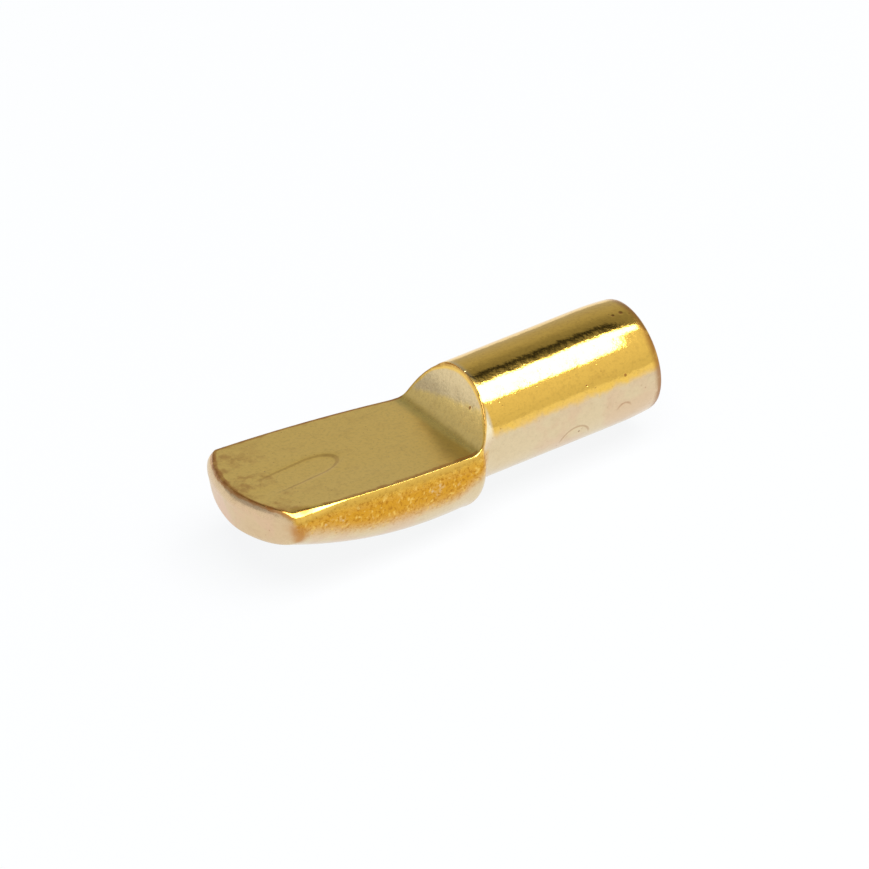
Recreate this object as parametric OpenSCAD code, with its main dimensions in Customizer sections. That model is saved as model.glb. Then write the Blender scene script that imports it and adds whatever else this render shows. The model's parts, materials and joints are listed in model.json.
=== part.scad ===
// Shelf support pin, spoon pattern.
// One piece of plated metal, pressed from round bar: a plain round pin that
// plugs into a drilled hole, and a flat spoon that the shelf rests on.
// Millimetres. The pin's axis is the X axis and its free end points to +X.
// The origin is on that axis, where the panel's face meets the spoon's heel.

/* [Pin] */
// Diameter of the round pin
pin_d = 5; // [3:0.1:8]
// Length of the pin, from the panel's face to its free end
pin_len = 8.85; // [6:0.05:14]
// Length along the pin, each way from the panel's face, of the flare at its root
root_run = 0.2; // [0.1:0.05:0.3]
// How far the root flares out beyond the pin, as a share of side_step
root_share = 0.5; // [0.1:0.1:0.8]
// Length over which the free end is eased
ease_len = 1.5; // [0.6:0.05:2.5]
// How much the radius shrinks over the eased length
ease_drop = 0.07; // [0.02:0.01:0.4]
// Radius of the rounded edge at the free end
end_round = 0.2; // [0.1:0.05:0.5]

/* [Spoon] */
// Length of the flat, from the foot of the shoulder to the middle of the front
seat_len = 10.15; // [7:0.05:15]
// How far each edge of the flat stands out beyond the pin, at the shoulder
side_step = 0.35; // [0.1:0.05:1.5]
// How far each edge of the flat curves out from there to its widest place
side_swell = 0.33; // [0.05:0.01:1]
// Distance from the foot of the shoulder to the widest place
widest_at = 6.1; // [4:0.1:8]
// Radius of the curved front, seen from above
front_r = 5; // [4:0.1:9]
// Upward slope of the flat towards its front, in degrees
seat_rise = 5.5; // [0:0.5:8]
// Height of the flat above the pin's axis at the foot of the shoulder
seat_z = 0.14; // [-0.5:0.02:0.6]
// How far each side bulges out beyond the flat's edge
side_bulge = 0.22; // [0.05:0.01:0.5]
// Depth below the flat at which the sides bulge most
bulge_at = 0.8; // [0.4:0.05:1.2]
// How far the heel stands out below the pin, as a stop against the panel
heel_step = 0.71; // [0.3:0.01:1.5]
// Radius of the rounded edge along the back of the heel
heel_round = 0.5; // [0.1:0.05:1]
// Thickness at the middle of the front
front_depth = 1.8; // [1.4:0.05:2.6]
// How late the underside rises towards the front: 1 is a straight wedge
belly_sweep = 2.2; // [1:0.1:3]
// Squareness of the underside's section at mid length: 2 is an oval
belly_square = 2.6; // [2:0.1:3.5]
// How far the front face bulges out beyond the flat's edge
front_bulge = 0.2; // [0.05:0.01:0.4]
// Depth below the flat at which the front face bulges most
front_bulge_at = 0.45; // [0.4:0.05:0.8]
// Inward lean of the front face below that, in degrees
front_lean = 14; // [0:1:20]

/* [Shoulder] */
// Distance from the panel's face to the foot of the shoulder
shoulder_gap = 0.3; // [0.1:0.05:0.8]
// Slope of the shoulder's face above the line of the flat, in degrees
shoulder_slope = 71; // [50:1:82]
// Radius of the hollow at the foot of the shoulder
shoulder_fillet = 0.7; // [0.2:0.05:1.2]

/* [Pressed mark] */
// Distance from the front of the flat to the mark's round end
mark_end_at = 5; // [4:0.1:6]
// Length of the shallow tongue-shaped mark on the flat
mark_len = 3.9; // [2:0.1:4]
// Width of the mark
mark_w = 1.6; // [0.8:0.1:3]
// Depth of the mark at its round end
mark_depth = 0.06; // [0.03:0.01:0.15]
// Turn of the mark away from the spoon's middle line, in degrees
mark_turn = 9; // [-15:1:15]
// Sideways place of the mark's round end
mark_side = -0.2; // [-1:0.1:1]

/* [Hidden] */
$fn = 96;
// Angle between the points of a rib's curve, and thickness of a rib
rib_step = 7.5;
rib_t = 0.02;
// Gaps between ribs along the spoon, and angle between those round the heel
rib_gaps = 7;
heel_turn = 22.5;
// Points along the front face's bulge and along the pin's ease
curve_points = 6;
// Angle between points round the edge of the pin's free end
edge_turn = 15;

pin_r = pin_d / 2;
// Thickness at the heel, below the flat
heel_depth = pin_r + seat_z + heel_step;
// Reach of the cutting shapes, past every part of the object
reach = 4 * pin_d + seat_len;

// Half width of the flat at a distance from the foot of the shoulder: a long
// arc that swells from the step beside the pin
side_r = (widest_at ^ 2 + side_swell ^ 2) / (2 * side_swell);
function half_w(d) =
    pin_r + side_step + side_swell - side_r + sqrt(side_r ^ 2 - (d - widest_at) ^ 2);

// Depth of the underside below the flat, and how square its curve is, at a
// distance from the foot of the shoulder
function depth(d) = heel_depth - (heel_depth - front_depth) * (max(d, 0) / seat_len) ^ belly_sweep;
function square_of(d) = 2 + (belly_square - 2) * sin(180 * max(d, 0) / seat_len);

// A thin rib across the spoon: an oval that is as wide as the flat where the
// flat cuts it, bulges below that, and reaches down to the underside. It is
// drawn in by inset at the bottom, and by half as much at the sides.
module spoon_rib(d, inset = 0) {
    w = half_w(max(d, 0)) + side_bulge - inset / 2;
    drop = depth(d) - bulge_at - inset;
    rise = bulge_at / sqrt(1 - ((w - side_bulge) / w) ^ 2);
    power = 2 / square_of(d);
    translate([-d, 0, 0]) rotate([90, 0, -90]) linear_extrude(rib_t, center = true) polygon(concat(
        [for (a = [0:rib_step:180 - rib_step]) [w * cos(a), rise * sin(a) - bulge_at]],
        [for (a = [0:rib_step:90 - rib_step])
            [-w * cos(a) ^ power, -bulge_at - drop * sin(a) ^ power]],
        [for (a = [90:-rib_step:rib_step])
            [w * cos(a) ^ power, -bulge_at - drop * sin(a) ^ power]]));
}

// The flat's outline with its curved, bulging front, as a cutter of full height
module front_outline() {
    bulge_r = (front_bulge_at ^ 2 + front_bulge ^ 2) / (2 * front_bulge);
    low = -front_bulge_at - heel_depth;
    translate([front_r - seat_len, 0, 0]) {
        rotate_extrude() polygon(concat(
            [[0, low], [front_r + front_bulge - heel_depth * tan(front_lean), low]],
            [for (h = [0:front_bulge_at / curve_points:front_bulge_at])
                [front_r + front_bulge - bulge_r + sqrt(bulge_r ^ 2 - h ^ 2), h - front_bulge_at]],
            [[front_r, reach], [0, reach]]));
        translate([0, -reach / 2, -reach / 2]) cube(reach);
    }
}

// Move from the flat's own frame, level with the flat, to the pin's frame
module on_seat() {
    translate([-shoulder_gap, 0, seat_z]) rotate([0, seat_rise, 0]) children();
}

// The rough spoon: thick at the rounded heel, thin at the front
module rough_spoon() {
    back = -shoulder_gap;
    straight = back + heel_round;
    on_seat() intersection() {
        hull() {
            for (a = [0:heel_turn:90 - heel_turn])
                spoon_rib(back + heel_round * (1 - cos(a)), heel_round * (1 - sin(a)));
            for (k = [0:rib_gaps])
                spoon_rib(straight + (seat_len + front_bulge - straight) * k / rib_gaps);
        }
        front_outline();
    }
}

// The shallow mark: a tongue, deepest at its round end, that runs out forward
module pressed_mark() {
    on_seat() translate([mark_end_at - seat_len, mark_side, -mark_depth])
        rotate([0, atan(mark_depth / mark_len), mark_turn]) {
            translate([-mark_w / 2, 0, 0]) cylinder(d = mark_w, h = pin_r);
            translate([-mark_w / 2 - mark_len, -mark_w / 2, 0]) cube([mark_len, mark_w, pin_r]);
        }
}

// The press tool's shape: everything above the flat and before the shoulder
module press_tool() {
    on_seat() rotate([90, 0, 0]) linear_extrude(reach, center = true) {
        run = shoulder_fillet / tan(90 - shoulder_slope / 2);
        difference() {
            polygon([[-reach, 0], [0, 0], [reach / tan(shoulder_slope), reach], [-reach, reach]]);
            polygon([[-run, 0], [0, 0], [run * cos(shoulder_slope), run * sin(shoulder_slope)]]);
        }
        translate([-run, shoulder_fillet]) circle(shoulder_fillet);
    }
}

// Half outline of the pin, from its flared root, which is buried in the spoon,
// to its eased and rounded free end
module pin_profile() {
    ease_r = (ease_len ^ 2 + ease_drop ^ 2) / (2 * ease_drop);
    buried = shoulder_gap + 2 * shoulder_fillet;
    flare = root_share * side_step;
    straight = pin_len - ease_len;
    polygon(concat(
        [[-buried, 0], [-buried, pin_r + flare], [-root_run, pin_r + flare], [root_run, pin_r]],
        [for (x = [0:ease_len / curve_points:ease_len - end_round])
            [straight + x, pin_r - ease_r + sqrt(ease_r ^ 2 - x ^ 2)]],
        [for (a = [90 - edge_turn:-edge_turn:0])
            [pin_len - end_round + end_round * cos(a),
             pin_r - ease_drop - end_round + end_round * sin(a)]],
        [[pin_len, 0]]));
}

module pin() {
    rotate([0, 90, 0]) rotate_extrude() mirror([1, -1, 0]) pin_profile();
}

brass_plate = [0.80, 0.62, 0.25];
module support_pin() color(brass_plate) {
    difference() {
        union() {
            pin();
            rough_spoon();
        }
        press_tool();
        pressed_mark();
    }
}
support_pin();
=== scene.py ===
"""A plated shelf support pin of the spoon pattern, on a pale studio table."""
import json
from math import atan2, cos, pi, radians, sin, sqrt, tan

import bmesh
import bpy
from mathutils import Euler, Matrix, Vector


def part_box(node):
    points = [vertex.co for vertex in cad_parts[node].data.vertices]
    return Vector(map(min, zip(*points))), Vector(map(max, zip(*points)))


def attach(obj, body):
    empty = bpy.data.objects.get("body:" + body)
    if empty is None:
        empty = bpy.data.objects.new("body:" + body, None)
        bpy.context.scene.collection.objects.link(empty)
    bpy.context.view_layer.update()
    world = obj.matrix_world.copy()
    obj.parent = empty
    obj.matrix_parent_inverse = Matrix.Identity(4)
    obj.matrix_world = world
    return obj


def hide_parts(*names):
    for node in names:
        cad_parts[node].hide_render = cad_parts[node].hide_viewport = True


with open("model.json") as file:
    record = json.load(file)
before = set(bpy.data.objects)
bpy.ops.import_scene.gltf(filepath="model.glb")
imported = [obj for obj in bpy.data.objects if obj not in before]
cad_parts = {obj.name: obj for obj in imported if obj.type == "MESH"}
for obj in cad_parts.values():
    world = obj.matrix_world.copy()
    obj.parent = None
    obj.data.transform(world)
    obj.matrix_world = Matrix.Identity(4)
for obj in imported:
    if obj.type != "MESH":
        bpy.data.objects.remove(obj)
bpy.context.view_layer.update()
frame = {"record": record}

# ---------------------------------------------------------------- the pin
# The real piece is one length of metal bar, cold pressed and then plated with
# brass. The pin stays round; the spoon is squeezed flat on top and swells out
# at its sides and below. The mesh is drawn out ring by ring from the front.
MM = 0.001
mounts = {mount["name"]: mount for mount in frame["record"]["mounts"]}
low, high = (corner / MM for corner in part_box("support_pin"))
pin_r = mounts["pin"]["dims"]["r_mm"]
clear_of_box = 1e-5
pin_end = high.x - clear_of_box

# The flat has a frame of its own: it starts at the shoulder's foot, runs along
# -X to the front, and rises from the pin's axis as the shelf's seat does
seat_up = Vector(mounts["shelf_seat"]["axis"])
seat_rise = atan2(seat_up.x, seat_up.z)
seat_at = Vector(mounts["shelf_seat"]["pos_m"]) / MM
foot_x = -0.3
foot = Vector((foot_x, 0, seat_at.z + (seat_at.x - foot_x) * tan(seat_rise)))
to_pin = Matrix.Translation(foot) @ Matrix.Rotation(seat_rise, 4, "Y")
to_seat = to_pin.inverted()

# Points in a ring: the first half of them run across the flat, from the near
# edge to the far one, and the rest run back below
around = 96
half = around // 2

# The spoon, in millimetres from the shoulder's foot or down from the flat
seat_len = 10.15
root_half = 2.85
swell = 0.33
widest_at = 6.1
bulge = 0.2
bulge_at = 0.8
bulge_turn = 0.34
heel_depth = 3.33
front_depth = 1.8
belly_sweep = 2.2
belly_square = 0.6

# Its long edges are crisp, and the near one is worn round towards the front
edge = 0.07
worn_edge = 0.42
worn_from, worn_full = 6.5, 9.5

# Its front is an arc seen from above, and leans back below its fullest line
front_r = 5.0
front_bulge = 0.17
front_bulge_at = 0.5
front_lean = radians(14)
front_middle = -0.75
far_corner = 0.12
bend_from = 5.0

# The tongue-shaped mark that the press left on the flat
mark_depth = 0.06
mark_len = 3.0
mark_half = 0.67
mark_point = 0.5
mark_centre = Vector((-6.45, -0.15))
mark_turn = radians(12)
mark_lip, mark_slope = 0.06, 0.09


def smooth(x, none_at, full_at):
    """0 up to none_at, 1 from full_at on and an easy curve between; either may be the greater."""
    t = min(max((x - none_at) / (full_at - none_at), 0.0), 1.0)
    return t * t * (3 - 2 * t)


def arc_through(run, rise, x):
    """Height at x of the arc that starts at 0 and climbs to its peak, rise, at run."""
    radius = (run ** 2 + rise ** 2) / (2 * rise)
    return rise - radius + sqrt(radius ** 2 - (x - run) ** 2)


def flat_half_width(d):
    """Half the flat's width at distance d from the shoulder."""
    return root_half + arc_through(widest_at, swell, max(d, 0))


def belly_depth(d):
    """How far the belly hangs below the flat at distance d from the shoulder."""
    return heel_depth - (heel_depth - front_depth) * (max(d, 0) / seat_len) ** belly_sweep


def mark(d, y):
    """How far the press mark sinks the flat: most at its round end, then less and less."""
    along = Vector((-d, y)) - mark_centre
    along.rotate(Matrix.Rotation(-mark_turn, 2))
    off = Vector((max(along.x, 0) * mark_point, along.y)).length - mark_half
    return mark_depth * smooth(off, mark_lip, -mark_slope) * smooth(along.x, -mark_len, 0)


def rib(d, i):
    """Point i of the spoon's section at distance d from the shoulder, as y and z."""
    flat = flat_half_width(d)
    wide = flat + bulge
    rise = bulge_at / sqrt(1 - (flat / wide) ** 2)
    worn = edge + (worn_edge - edge) * smooth(d, worn_from, worn_full)

    # Each edge is rounded by a point on the side and one where the flat starts
    if i in (0, half):
        drop = worn if i == 0 else edge
        y = sqrt(1 - ((bulge_at - drop) / rise) ** 2) * wide
        return (-y if i == 0 else y), -drop
    if i == 1:
        return 0.2 * worn - flat, 0.25 * (edge - worn)
    if i == half - 1:
        return flat, 0.0
    if i < half:
        y = worn - flat + (2 * flat - edge - worn) * (i - 2) / (half - 4)
        return y, -mark(d, y)

    # The bulging sides are an ellipse, and the belly a slightly squared one
    start = -atan2(bulge_at - edge, rise * cos(bulge_turn))
    end = pi + atan2(bulge_at - worn, rise * cos(bulge_turn))
    turn = start + (end - start) * (i - half) / half
    if turn < 0 or turn > pi:
        return wide * cos(turn), -bulge_at - rise * sin(turn)
    power = 2 / (2 + belly_square * sin(pi * min(max(d, 0) / seat_len, 1)))
    y = wide * abs(cos(turn)) ** power
    z = -bulge_at - (belly_depth(d) - bulge_at) * sin(turn) ** power
    return (y if turn < pi / 2 else -y), z


def front_x(y, z):
    """Where the curved front face lies, in the flat's own frame."""
    if z > -front_bulge_at:
        out = front_bulge * (1 - ((z + front_bulge_at) / front_bulge_at) ** 2)
    else:
        out = front_bulge - tan(front_lean) * (-z - front_bulge_at)
    out += far_corner * smooth(y, 0.5, 3) * smooth(z, 0, -0.3)
    return -(seat_len - front_r + sqrt(front_r ** 2 - y ** 2)) - out


def spoon_ring(d):
    """A rib of the spoon that bends round to the curved front as it nears it."""
    bend = max(0.0, (d - bend_from) / (seat_len - bend_from)) ** 2
    ring = []
    for i in range(around):
        y, z = rib(d, i)
        shift = front_x(y, z) + seat_len
        y, z = rib(d - bend * shift, i)
        ring.append(to_pin @ Vector((-d + bend * (front_x(y, z) + seat_len), y, z)))
    return ring


def front_ring(size):
    """A ring on the front face, drawn in towards its middle."""
    ring = []
    for i in range(around):
        y, z = rib(seat_len + front_x(rib(seat_len, i)[0], 0) + seat_len, i)
        y, z = y * size, front_middle + (z - front_middle) * size
        ring.append(to_pin @ Vector((front_x(y, z), y, z)))
    return ring


# The press face, seen from the side: level, up round the hollow, then ever
# steeper up to the rim
hollow_r = 0.7
hollow_run = 0.5
hollow_turn = radians(65)
steepening = radians(6)
press_step = 0.02
press_top = 3.0
press = [Vector((-hollow_run, 0))]
slope = 0.0
while press[-1].y < press_top:
    press.append(press[-1] + press_step * Vector((cos(slope), sin(slope))))
    slope += press_step / hollow_r if slope < hollow_turn else press_step * steepening

# The rim between shoulder and pin stands out from the pin at its sides
rim_step = 0.44
rim_top = 2.42
rim_foot = 0.3
rim_x = 0.2
rim_least = 0.18

# The heel's rounding, how far it turns, its back and the height it closes to
heel_round = 0.55
heel_turn = pi / 3
heel_back = 0.3
heel_middle = -0.3

# Where the flare behind the rim has become the round pin
flare_end = 0.62


def press_at(share, height):
    """Point of the press face that is a share of the way up to a height over the flat."""
    last = next(k for k, p in enumerate(press) if p.y >= height)
    k = share * last
    a, b = press[int(k)], press[min(int(k) + 1, last)]
    return a.lerp(b, k - int(k))


def pin_angle(i):
    """Where point i of a ring lies round the pin, from its top towards the near side."""
    return pi / 2 - pi * i / half


def rim_point(i):
    """The rim between shoulder and pin, in the pin's frame, as y and z."""
    up = cos(pin_angle(i))
    z = rim_foot + (rim_top - rim_foot) * up
    y = sqrt(max(rim_top ** 2 - z ** 2, 0)) + rim_step * (1 - up)
    return (-y if i < half / 2 else y), z


def heel_path(share):
    """Along the spoon's axis and inwards, from the last rib to the heel's back."""
    run = heel_back - heel_round + hollow_run
    reach = share * (run + heel_round * heel_turn)
    if reach < run:
        return -hollow_run + reach, 0.0
    a = (reach - run) / heel_round
    return heel_back - heel_round + heel_round * sin(a), heel_round * (1 - cos(a))


def shoulder_ring(share):
    """A ring that climbs the shoulder above and rounds the heel below."""
    ring = []
    for i in range(around):
        y, z = rib(hollow_run, i)
        if i <= half:
            rim_y, rim_z = rim_point(i)
            height = (to_seat @ Vector((rim_x, rim_y, rim_z))).z
            p = press_at(share, max(height, rim_least))
            ring.append(to_pin @ Vector((p.x, y + (rim_y - y) * share, p.y)))
        else:
            x, inset = heel_path(share)
            out = Vector((y, z - heel_middle)).normalized() * inset
            ring.append(to_pin @ Vector((x, y - out.x, z - out.y)))
    return ring


def flare_ring(share, rim):
    """From the rim and the heel's back edge onto the round pin."""
    ease = 1 - (1 - share) ** 2
    ring = []
    for i, p in enumerate(rim):
        a = pin_angle(i)
        on_pin = Vector((flare_end, -pin_r * sin(a), pin_r * cos(a)))
        along = share if i <= half else share ** 2
        ring.append(Vector((p.x + (on_pin.x - p.x) * along, *p.yz.lerp(on_pin.yz, ease))))
    return ring


def pin_ring(x, r):
    """A round ring of radius r on the pin's axis."""
    angles = [pin_angle(i) for i in range(around)]
    return [Vector((x, -r * sin(a), r * cos(a))) for a in angles]


# The rings, from the middle of the front face to the middle of the pin's end;
# they stand closer where the shape turns faster and by the mark's round end
wide_gap, fine_gap = 0.3, 0.15
round_end = 5.85
by_mark = 0.6
rings = [front_ring(size) for size in (0.12, 0.3, 0.5, 0.7, 0.85, 0.95, 1.0)]
rings += [spoon_ring(seat_len - d) for d in (0.09, 0.25, 0.5, 0.8, 1.15, 1.55)]
d = seat_len - 1.95
while d > hollow_run + 0.2:
    rings.append(spoon_ring(d))
    d -= fine_gap if abs(d - round_end) < by_mark else wide_gap
for share in (0, 0.08, 0.16, 0.24, 0.34, 0.46, 0.6, 0.76, 0.9, 0.97, 1):
    rings.append(shoulder_ring(share))
rim = rings[-1]
rings += [flare_ring(share, rim) for share in (0.06, 0.2, 0.4, 0.7, 1.0)]
rings += [pin_ring(x, pin_r) for x in (0.8, 1.5, 2.5, 3.5, 4.5, 5.5, 6.5, 7.2)]

# The eased end, as how far back each ring is and how far in
for back, drop in ((1.2, 0.01), (0.8, 0.035), (0.45, 0.06), (0.22, 0.09), (0.07, 0.14), (0, 0.25)):
    rings.append(pin_ring(pin_end - back, pin_r - drop))
rings += [pin_ring(pin_end, r) for r in (2.1, 1.6, 1.0, 0.4)]

bm = bmesh.new()
bmesh.ops.create_circle(bm, segments=around, radius=1, cap_ends=True, cap_tris=True)
hub = next(v for v in bm.verts if len(v.link_edges) == around)
loop = [v for v in bm.verts if v is not hub]
loop.sort(key=lambda v: atan2(v.co.y, v.co.x))
hub.co = sum(rings[0], Vector()) / around
for v, p in zip(loop, rings[0]):
    v.co = p
edges = [e for e in bm.edges if e.is_boundary]
for ring in rings[1:]:
    drawn = bmesh.ops.extrude_edge_only(bm, edges=edges)["geom"]
    edges = [g for g in drawn if isinstance(g, bmesh.types.BMEdge)]
    place = {v: i for i, v in enumerate(loop)}
    for v in [g for g in drawn if isinstance(g, bmesh.types.BMVert)]:
        old = next(e.other_vert(v) for e in v.link_edges if e.other_vert(v) in place)
        loop[place[old]] = v
    for v, p in zip(loop, ring):
        v.co = p
bmesh.ops.contextual_create(bm, geom=edges)
bmesh.ops.poke(bm, faces=[f for f in bm.faces if len(f.verts) == around])
bmesh.ops.recalc_face_normals(bm, faces=bm.faces)


# The finish, and the shade, highlights and reflections painted on it, differ from zone
# to zone, so each point of the mesh stores how much of each zone it has. A zone is told
# from p, the point in the flat's frame, q, the same point in the pin's, and n, the way
# that the surface faces there. Its limits are in millimetres, or for n as a share of 1.
def edge_gap(p):
    """How far inside the flat's outline a place is, seen square onto the flat."""
    side = flat_half_width(-p.x) - abs(p.y)
    centre = front_r - seat_len
    if p.x > centre:
        return side
    return min(side, front_r - Vector((p.x - centre, p.y)).length)


def on_edge(p, q, n):
    """The flat's outline; where the near edge is worn round it lies further in."""
    inwards = 0.13 * smooth(p.y, 0, -1) * smooth(p.x, -9.0, -8.0)
    near = smooth(abs(edge_gap(p) - inwards), 0.13 + 0.12 * smooth(p.y, 0, 1), 0.03)
    return near * smooth(p.z, -0.2, -0.06) * smooth(p.z, 0.3, 0.1) * smooth(p.x, 0.0, -0.3)


def on_rim(p, q, n):
    """The rim between shoulder and pin."""
    if abs(q.x) > 1.5:
        return 0.0
    return smooth(min((q - at).length for at in rim[:half + 1]), 0.19, 0.05)


def on_front(p, q, n):
    """The whole front face."""
    return smooth(n.x, -0.35, -0.75) * smooth(p.x, -6.5, -7.5)


def on_corner(p, q, n):
    """The upright corners between the front face and the sides."""
    if p.x > -6:
        return 0.0
    side = flat_half_width(-p.x) + bulge - abs(p.y)
    return smooth(max(p.x - front_x(p.y, p.z), side), 0.4, 0.15) * smooth(p.z, -0.3, -0.7)


def on_side(p, q, n):
    """The squeezed sides, as a band that narrows towards the front and the heel."""
    short = 0.7 * smooth(p.x, -5, -9) + 0.7 * smooth(p.x, -1.6, 0.2)
    band = smooth(p.z, short - 2.0, short - 1.15) * smooth(p.z, 0.02, -0.12)
    sideways = smooth(n.z, 0.45, 0.15) * smooth(abs(n.y), 0.35, 0.6)
    return band * sideways * smooth(p.x, 0.5, 0.2) * (1 - on_front(p, q, n))


def on_flat(p, q, n):
    """The flat, up to the hollow."""
    return smooth(n.z, 0.9, 0.97) * smooth(p.x, 0.2, -0.2) * smooth(p.z, 0.6, 0.2)


def in_hollow(p, q, n):
    """Painted shade on the end of the flat before the hollow, wider towards the near edge."""
    near = smooth(p.y, 0.8, -2.5)
    shade = smooth(p.x, -0.8 - 1.0 * near, -0.4 - 0.5 * near) * smooth(p.x, 0.0, -0.35)
    return shade * smooth(abs(n.y), 0.5, 0.2) * smooth(n.z, 0.2, 0.4)


def on_shoulder(p, q, n):
    """The whole press face of the shoulder."""
    return smooth(n.x, -0.2, -0.6) * smooth(p.x, -1.0, -0.6)


def on_shoulder_top(p, q, n):
    """The upper part of the shoulder, painted with a pale reflection; it reaches lower on the far
    side.
    """
    return on_shoulder(p, q, n) * smooth(p.z + 0.2 * p.y, 0.7, 1.4)


def on_flare(p, q, n):
    """Painted highlight on the near side of the flare behind the rim."""
    near = smooth(q.y, -0.9, -1.4) * smooth(q.z, 0.1, 0.8)
    return near * smooth(n.x, 0.08, 0.25) * smooth(q.x, 0.8, 0.55)


def on_end(p, q, n):
    """The rounding of the pin's free end."""
    return smooth(q.x, pin_end - 0.4, pin_end - 0.15) * smooth(q.yz.length, 2.1, 2.25)


def facing_down(p, q, n):
    """Upright walls and whatever faces down, but nothing that faces well up; the white table's
    reflection is painted pale there.
    """
    return smooth(n.z, 0.35, 0.0)


bm.normal_update()
for zone in (on_edge, on_rim, on_front, on_corner, on_side, on_flat, in_hollow, on_shoulder,
             on_shoulder_top, on_flare, on_end, facing_down):
    layer = bm.verts.layers.float.new(zone.__name__)
    for v in bm.verts:
        v[layer] = zone(to_seat @ v.co, v.co, v.normal)
bmesh.ops.scale(bm, vec=(MM, MM, MM), verts=bm.verts)
mesh = bpy.data.meshes.new("plated_pin")
bm.to_mesh(mesh)
bm.free()
mesh.shade_smooth()
pin = bpy.data.objects.new("plated_pin", mesh)
bpy.context.scene.collection.objects.link(pin)
subdivision = pin.modifiers.new("smooth", "SUBSURF")
subdivision.levels = subdivision.render_levels = 1
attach(pin, "root")
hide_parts("support_pin")


class Field:
    """A socket of a shader, so that what varies over a surface is written as plain sums."""

    tree = None

    def __init__(self, socket):
        self.socket = socket

    @classmethod
    def node(cls, kind, settings, sockets, output=0):
        """Add a node: its settings first, then its sockets' values or links."""
        made = cls.tree.nodes.new("ShaderNode" + kind)
        for name, value in settings.items():
            if name == "stops":
                stops = made.color_ramp.elements
                while len(stops) < len(value):
                    stops.new(1.0)
                for stop, (position, tone) in zip(stops, value):
                    stop.position, stop.color = position, tone
            else:
                setattr(made, name, value)
        for name, value in sockets.items():
            if isinstance(value, Field):
                cls.tree.links.new(value.socket, made.inputs[name])
            else:
                made.inputs[name].default_value = value
        return cls(made.outputs[output])

    @classmethod
    def math(cls, operation, *terms):
        """Add a Math node for an operation on fields and numbers."""
        return cls.node("Math", {"operation": operation}, dict(enumerate(terms)))

    def __add__(self, other):
        return Field.math("ADD", self, other)

    def __radd__(self, other):
        return Field.math("ADD", other, self)

    def __sub__(self, other):
        return Field.math("SUBTRACT", self, other)

    def __rsub__(self, other):
        return Field.math("SUBTRACT", other, self)

    def __mul__(self, other):
        return Field.math("MULTIPLY", self, other)

    def __rmul__(self, other):
        return Field.math("MULTIPLY", other, self)

    def __abs__(self):
        return Field.math("ABSOLUTE", self)

    def eased(self, none_at, full_at):
        """0 up to none_at, 1 from full_at on, with an easy curve between."""
        return Field.node("MapRange", {"interpolation_type": "SMOOTHSTEP"},
                          {"Value": self, "From Min": none_at, "From Max": full_at})

    def tinted(self, under, over):
        """The colour under, covered by the colour over where this is 1."""
        return Field.node("Mix", {"data_type": "RGBA"},
                          {"Factor": self, "A": under, "B": over}, "Result")


def painted(zone):
    """How much of a zone each point has."""
    return Field.node("Attribute", {"attribute_name": zone.__name__}, {}, "Fac")


def part(vector, axis):
    """One part of a vector, by the name of its axis."""
    return Field.node("SeparateXYZ", {}, {0: vector}, axis)


def gap_to(vector, place):
    """How far each point is from a place."""
    return Field.node("VectorMath", {"operation": "DISTANCE"}, {0: vector, 1: place}, "Value")


def grain(where, scale, detail=2.0, roughness=0.5):
    """Soft noise from 0 to 1, mostly near a half; scale is its cells in a millimetre."""
    return Field.node("TexNoise", {}, {"Vector": where, "Scale": scale, "Detail": detail,
                                       "Roughness": roughness})


def pocks(where, scale):
    """How far each point is from the nearest of many scattered places."""
    return Field.node("TexVoronoi", {}, {"Vector": where, "Scale": scale}, "Distance")


def colour(red, green, blue):
    """A colour as the nodes take it."""
    return (red, green, blue, 1)


plate = bpy.data.materials.new("brass_plate")
plate.use_nodes = True
Field.tree = plate.node_tree
object_at = Field.node("TexCoord", {}, {}, "Object")
at = Field.node("Mapping", {}, {"Vector": object_at, "Scale": (1 / MM, 1 / MM, 1 / MM)})
lengthways = Field.node("Mapping", {}, {"Vector": at, "Scale": (0.3, 1, 1)})
side_on = Field.node("Mapping", {}, {"Vector": at, "Scale": (1, 0, 1)})
cloud = grain(at, 0.6, 3.0)
patch = grain(at, 1.6, 4.0, 0.6)
speck = grain(at, 7.0, 3.0, 0.7)
flat = painted(on_flat)
side = painted(on_side)
front = painted(on_front)
shoulder = painted(on_shoulder)
end = painted(on_end)
edge_line = painted(on_edge)
rim_line = painted(on_rim)
under = painted(facing_down)

# The plate: bright gold, a slightly paler gold on the flat, and pale where it faces down, a
# painted reflection of the white table
bright = colour(0.90, 0.575, 0.11)
pressed = colour(0.93, 0.645, 0.17)
pale = colour(0.74, 0.60, 0.375)
cut = colour(0.70, 0.52, 0.31)
pink = colour(0.73, 0.50, 0.33)
base = flat.tinted(bright, pressed)
base = (under + 0.9 * patch - 0.45).eased(0.2, 0.8).tinted(base, pale)
base = front.tinted(base, cut)
base = ((under + front) * cloud.eased(0.45, 0.62) * 0.5).tinted(base, pink)

# The squeezed sides are orange, with a coarse amber and straw grain
orange = colour(0.70, 0.35, 0.028)
amber = colour(0.52, 0.22, 0.015)
straw = colour(0.92, 0.60, 0.14)
base = (side * (1.4 * patch + 0.8 * speck).eased(0.55, 1.0)).tinted(base, orange)
base = (side * speck.eased(0.5, 0.64) * 0.9).tinted(base, amber)
base = (side * grain(at, 5.0, 2.0).eased(0.56, 0.7) * 0.8).tinted(base, straw)

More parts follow.
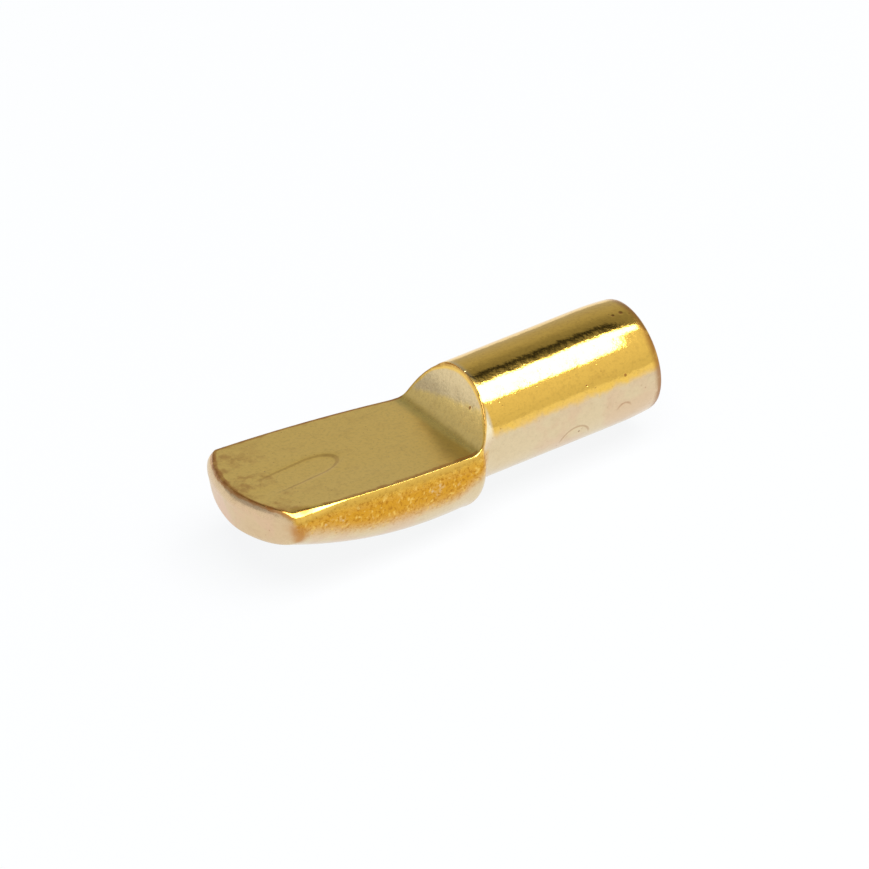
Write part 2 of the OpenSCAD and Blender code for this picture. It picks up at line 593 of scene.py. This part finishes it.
# The shoulder is dull, with a painted pale reflection at its top; painted shade darkens the
# flat before the hollow, and a milky painted highlight lies on the flare
khaki = colour(0.94, 0.69, 0.24)
hollow_shade_olive = colour(0.56, 0.435, 0.12)
flare_highlight_milky = colour(0.97, 0.86, 0.60)
shoulder_reflection_cream = colour(0.76, 0.60, 0.33)
base = shoulder.tinted(base, khaki)
base = (painted(in_hollow) * 0.85).tinted(base, hollow_shade_olive)
base = painted(on_flare).tinted(base, flare_highlight_milky)
base = (painted(on_shoulder_top) + 0.8 * patch - 0.4).eased(0.15, 0.75).tinted(base, shoulder_reflection_cream)

# Stains near the front of the flat, and a fine dark grain everywhere
rust = colour(0.50, 0.21, 0.04)
dark = colour(0.10, 0.05, 0.015)
brown = colour(0.34, 0.13, 0.03)
fore = part(at, "X").eased(-7.2, -9.6)
base = (fore * flat * patch.eased(0.45, 0.68) * 0.5).tinted(base, rust)
base = (speck.eased(0.42, 0.75) * (0.16 - 0.09 * under)).tinted(base, dark)
base = (patch.eased(0.5, 0.8) * 0.14).tinted(base, brown)

# The outline of the tongue-shaped mark, which fades towards the front
mark_at = to_pin @ Vector((*mark_centre, 0))
in_mark = Field.node("Mapping", {"vector_type": "TEXTURE"},
                     {"Vector": at, "Location": (mark_at.x, mark_at.y, 0),
                      "Rotation": (0, 0, mark_turn)})
mark_x = part(in_mark, "X")
mark_y = part(in_mark, "Y")
past = Field.math("MAXIMUM", mark_x, 0.0) * mark_point
from_middle = Field.math("SQRT", past * past + mark_y * mark_y)
from_outline = abs(from_middle - mark_half + 0.05 * patch)
outline = from_outline.eased(0.075, 0.03) * flat * mark_x.eased(-mark_len, -1.5)
base = (outline * 0.32).tinted(base, brown)

# Tarnish and a painted dark reflection: a rusty fringe along the edges with a thin brown
# line on them, partly tarnish and partly the painted dark reflection, brown round the
# pin's end, a bright rim with a brown crease, and rust down the corners
fringe = (edge_line + 1.2 * patch - 0.6).eased(0.3, 0.7)
base = (fringe * 0.68).tinted(base, rust)
edge_tarnish_and_shade_line = (edge_line * grain(at, 2.5, 4.0, 0.6).eased(0.25, 0.6)).eased(0.5, 1.0)
base = (edge_tarnish_and_shade_line * 0.85).tinted(base, brown)
base = (end * patch.eased(0.3, 0.5) * 0.85).tinted(base, brown)
base = (rim_line.eased(0.1, 0.6) * 0.9).tinted(base, bright)
base = (rim_line.eased(0.75, 1.0) * patch.eased(0.3, 0.5) * 0.6).tinted(base, brown)
base = (painted(on_corner) * patch.eased(0.2, 0.45) * 0.8).tinted(base, rust)

# Pits, large and fine, each kind in its own drifts
pit = pocks(at, 1.3).eased(0.085, 0.03) * grain(at, 0.9).eased(0.48, 0.55)
fine_pit = pocks(at, 2.7).eased(0.12, 0.05) * cloud.eased(0.46, 0.56)
base = (pit * 0.85 + fine_pit * 0.4).tinted(base, brown)

# Marks of this one piece: dark specks, as a place and a radius, and two thin
# arched scrapes on the pin's near side, as a centre along and up, and a radius
specks = ((7.05, -2.38, 0.77, 0.09), (7.8, -0.52, 2.45, 0.1), (8.2, -0.5, 2.45, 0.14),
          (8.5, -0.69, 2.4, 0.1), (0.28, -1.2, 1.29, 0.09), (-0.56, -2.77, -0.44, 0.1))
scrapes = ((6.87, -0.8, 0.34), (4.54, -1.44, 0.71))
near_side = part(at, "Y").eased(-1.8, -2.2)
height = part(at, "Z")
spots = 0.0
for *place, r in specks:
    spots = spots + gap_to(at, place).eased(r, 0.4 * r)
for x, z, r in scrapes:
    thread = abs(gap_to(side_on, (x, 0, z)) - r).eased(0.07, 0.02)
    spots = spots + thread * near_side * height.eased(z, z + 0.3) * 0.45
base = (spots * 0.85).tinted(base, brown)

# The relief, in millimetres: long soft waves and a fine orange peel all over, a
# rough grain on the sides, and the pits, marks and outline sunk in
wave = grain(lengthways, 0.8, 1.0) * 0.025
peel = patch * (0.012 - 0.006 * flat)
coarse = speck * (0.0018 + 0.018 * side + 0.002 * front)
sunk = pit * 0.02 + fine_pit * 0.003 + spots * 0.008 + outline * 0.003
relief = wave + peel + coarse - sunk
bump = Field.node("Bump", {}, {"Strength": 1.0, "Distance": MM, "Height": relief}, "Normal")

# Polished on the pin, duller where the press has worked and where tarnish lies
roughness = 0.07 + 0.06 * cloud + 0.2 * flat + 0.14 * side + 0.12 * front + 0.1 * shoulder
roughness = roughness + 0.08 * under + 0.2 * edge_tarnish_and_shade_line + 0.2 * end

shader = plate.node_tree.nodes["Principled BSDF"]
shader.inputs["Metallic"].default_value = 1
links = plate.node_tree.links
links.new(base.socket, shader.inputs["Base Color"])
links.new(roughness.socket, shader.inputs["Roughness"])
links.new(bump.socket, shader.inputs["Normal"])
mesh.materials.append(plate)

# ------------------------------------------------------------- the studio
# A white light table, one long softbox over the pin's near side, and a grey
# room that darkens towards its ceiling. None of it is part of the object.
table_half = 2
bm = bmesh.new()
bmesh.ops.create_grid(bm, x_segments=1, y_segments=1, size=table_half)
bmesh.ops.translate(bm, vec=(0, 0, low.z * MM), verts=bm.verts)
mesh = bpy.data.meshes.new("table")
bm.to_mesh(mesh)
bm.free()
table = bpy.data.objects.new("table", mesh)
bpy.context.scene.collection.objects.link(table)
table_top = bpy.data.materials.new("light_table")
table_top.use_nodes = True
shader = table_top.node_tree.nodes["Principled BSDF"]
shader.inputs["Base Color"].default_value = colour(0.05, 0.05, 0.05)
shader.inputs["Roughness"].default_value = 1
shader.inputs["Specular IOR Level"].default_value = 0
shader.inputs["Emission Color"].default_value = colour(0.98, 0.99, 1)
shader.inputs["Emission Strength"].default_value = 0.9
mesh.materials.append(table_top)

# The softbox leans over the near side, in metres; a short strip beside its
# right end carries its far edge on
reach = 0.5
lean = radians(21.2)
key_x = 0.02
key_len, key_wide = 0.54, 0.33
strip_len, strip_wide = 0.12, 0.1
key_at = Vector((key_x, -reach * sin(lean), reach * cos(lean)))
to_right_end = Vector(((key_len + strip_len) / 2, 0, 0))
to_far_edge = Vector((0, cos(lean), sin(lean))) * (key_wide - strip_wide) / 2
for name, centre, size, power in (
        ("key", key_at, (key_len, key_wide), 5),
        ("strip", key_at + to_right_end + to_far_edge, (strip_len, strip_wide), 0.34)):
    data = bpy.data.lights.new(name, "AREA")
    data.shape = "RECTANGLE"
    data.size, data.size_y = size
    data.energy = power
    lamp = bpy.data.objects.new(name, data)
    lamp.location = centre
    lamp.rotation_euler = Euler((lean, 0, 0))
    lamp.visible_camera = False
    bpy.context.scene.collection.objects.link(lamp)

# The room: its back wall is a ramp of greys up to the ceiling, with a dark gap
# high up behind the softbox, and its front wall is nearly white
world = bpy.data.worlds.new("room")
world.use_nodes = True
bpy.context.scene.world = world
Field.tree = world.node_tree
direction = Field.node("TexCoord", {}, {}, "Generated")
above = part(direction, "Z")
greys = ((0.0, 0.5), (0.53, 0.47), (0.64, 0.41), (0.74, 0.3), (0.83, 0.25), (0.85, 0.01),
         (0.88, 0.01), (0.9, 0.3), (1.0, 0.3))
stops = [(up, colour(grey, grey, grey)) for up, grey in greys]
back_wall = Field.node("ValToRGB", {"stops": stops}, {"Fac": above})
front_wall = above.eased(0.0, 0.6).tinted(colour(0.76, 0.75, 0.73), colour(0.9, 0.88, 0.86))
room = part(direction, "Y").eased(0.05, -0.15).tinted(back_wall, front_wall)
backdrop = colour(0.97, 0.97, 0.97)
seen = Field.node("LightPath", {}, {}, "Is Camera Ray").tinted(room, backdrop)
background = world.node_tree.nodes["Background"]
world.node_tree.links.new(seen.socket, background.inputs["Color"])
bpy.context.scene.view_settings.view_transform = "Standard"

# ------------------------------------------------------------- the camera
# A long lens from the front left, above the spoon, aimed a little to one side
# of the object's origin.
azimuth, elevation, roll = radians(30.8), radians(31.7), radians(4.5)
distance = 0.4
aim_x = -0.3
framing = Vector((-0.38, -0.28, 0))
camera_data = bpy.data.cameras.new("camera")
camera = bpy.data.objects.new("camera", camera_data)
bpy.context.scene.collection.objects.link(camera)
camera_data.sensor_width = 36
camera_data.lens = 408.47
camera_data.clip_start = 0.01
turn = Euler((pi / 2 - elevation, 0, -azimuth)).to_matrix() @ Matrix.Rotation(-roll, 3, "Z")
aim = (turn @ framing + Vector((aim_x, 0, 0))) * MM
camera.matrix_world = Matrix.Translation(aim + turn @ Vector((0, 0, distance))) @ turn.to_4x4()
bpy.context.scene.camera = camera
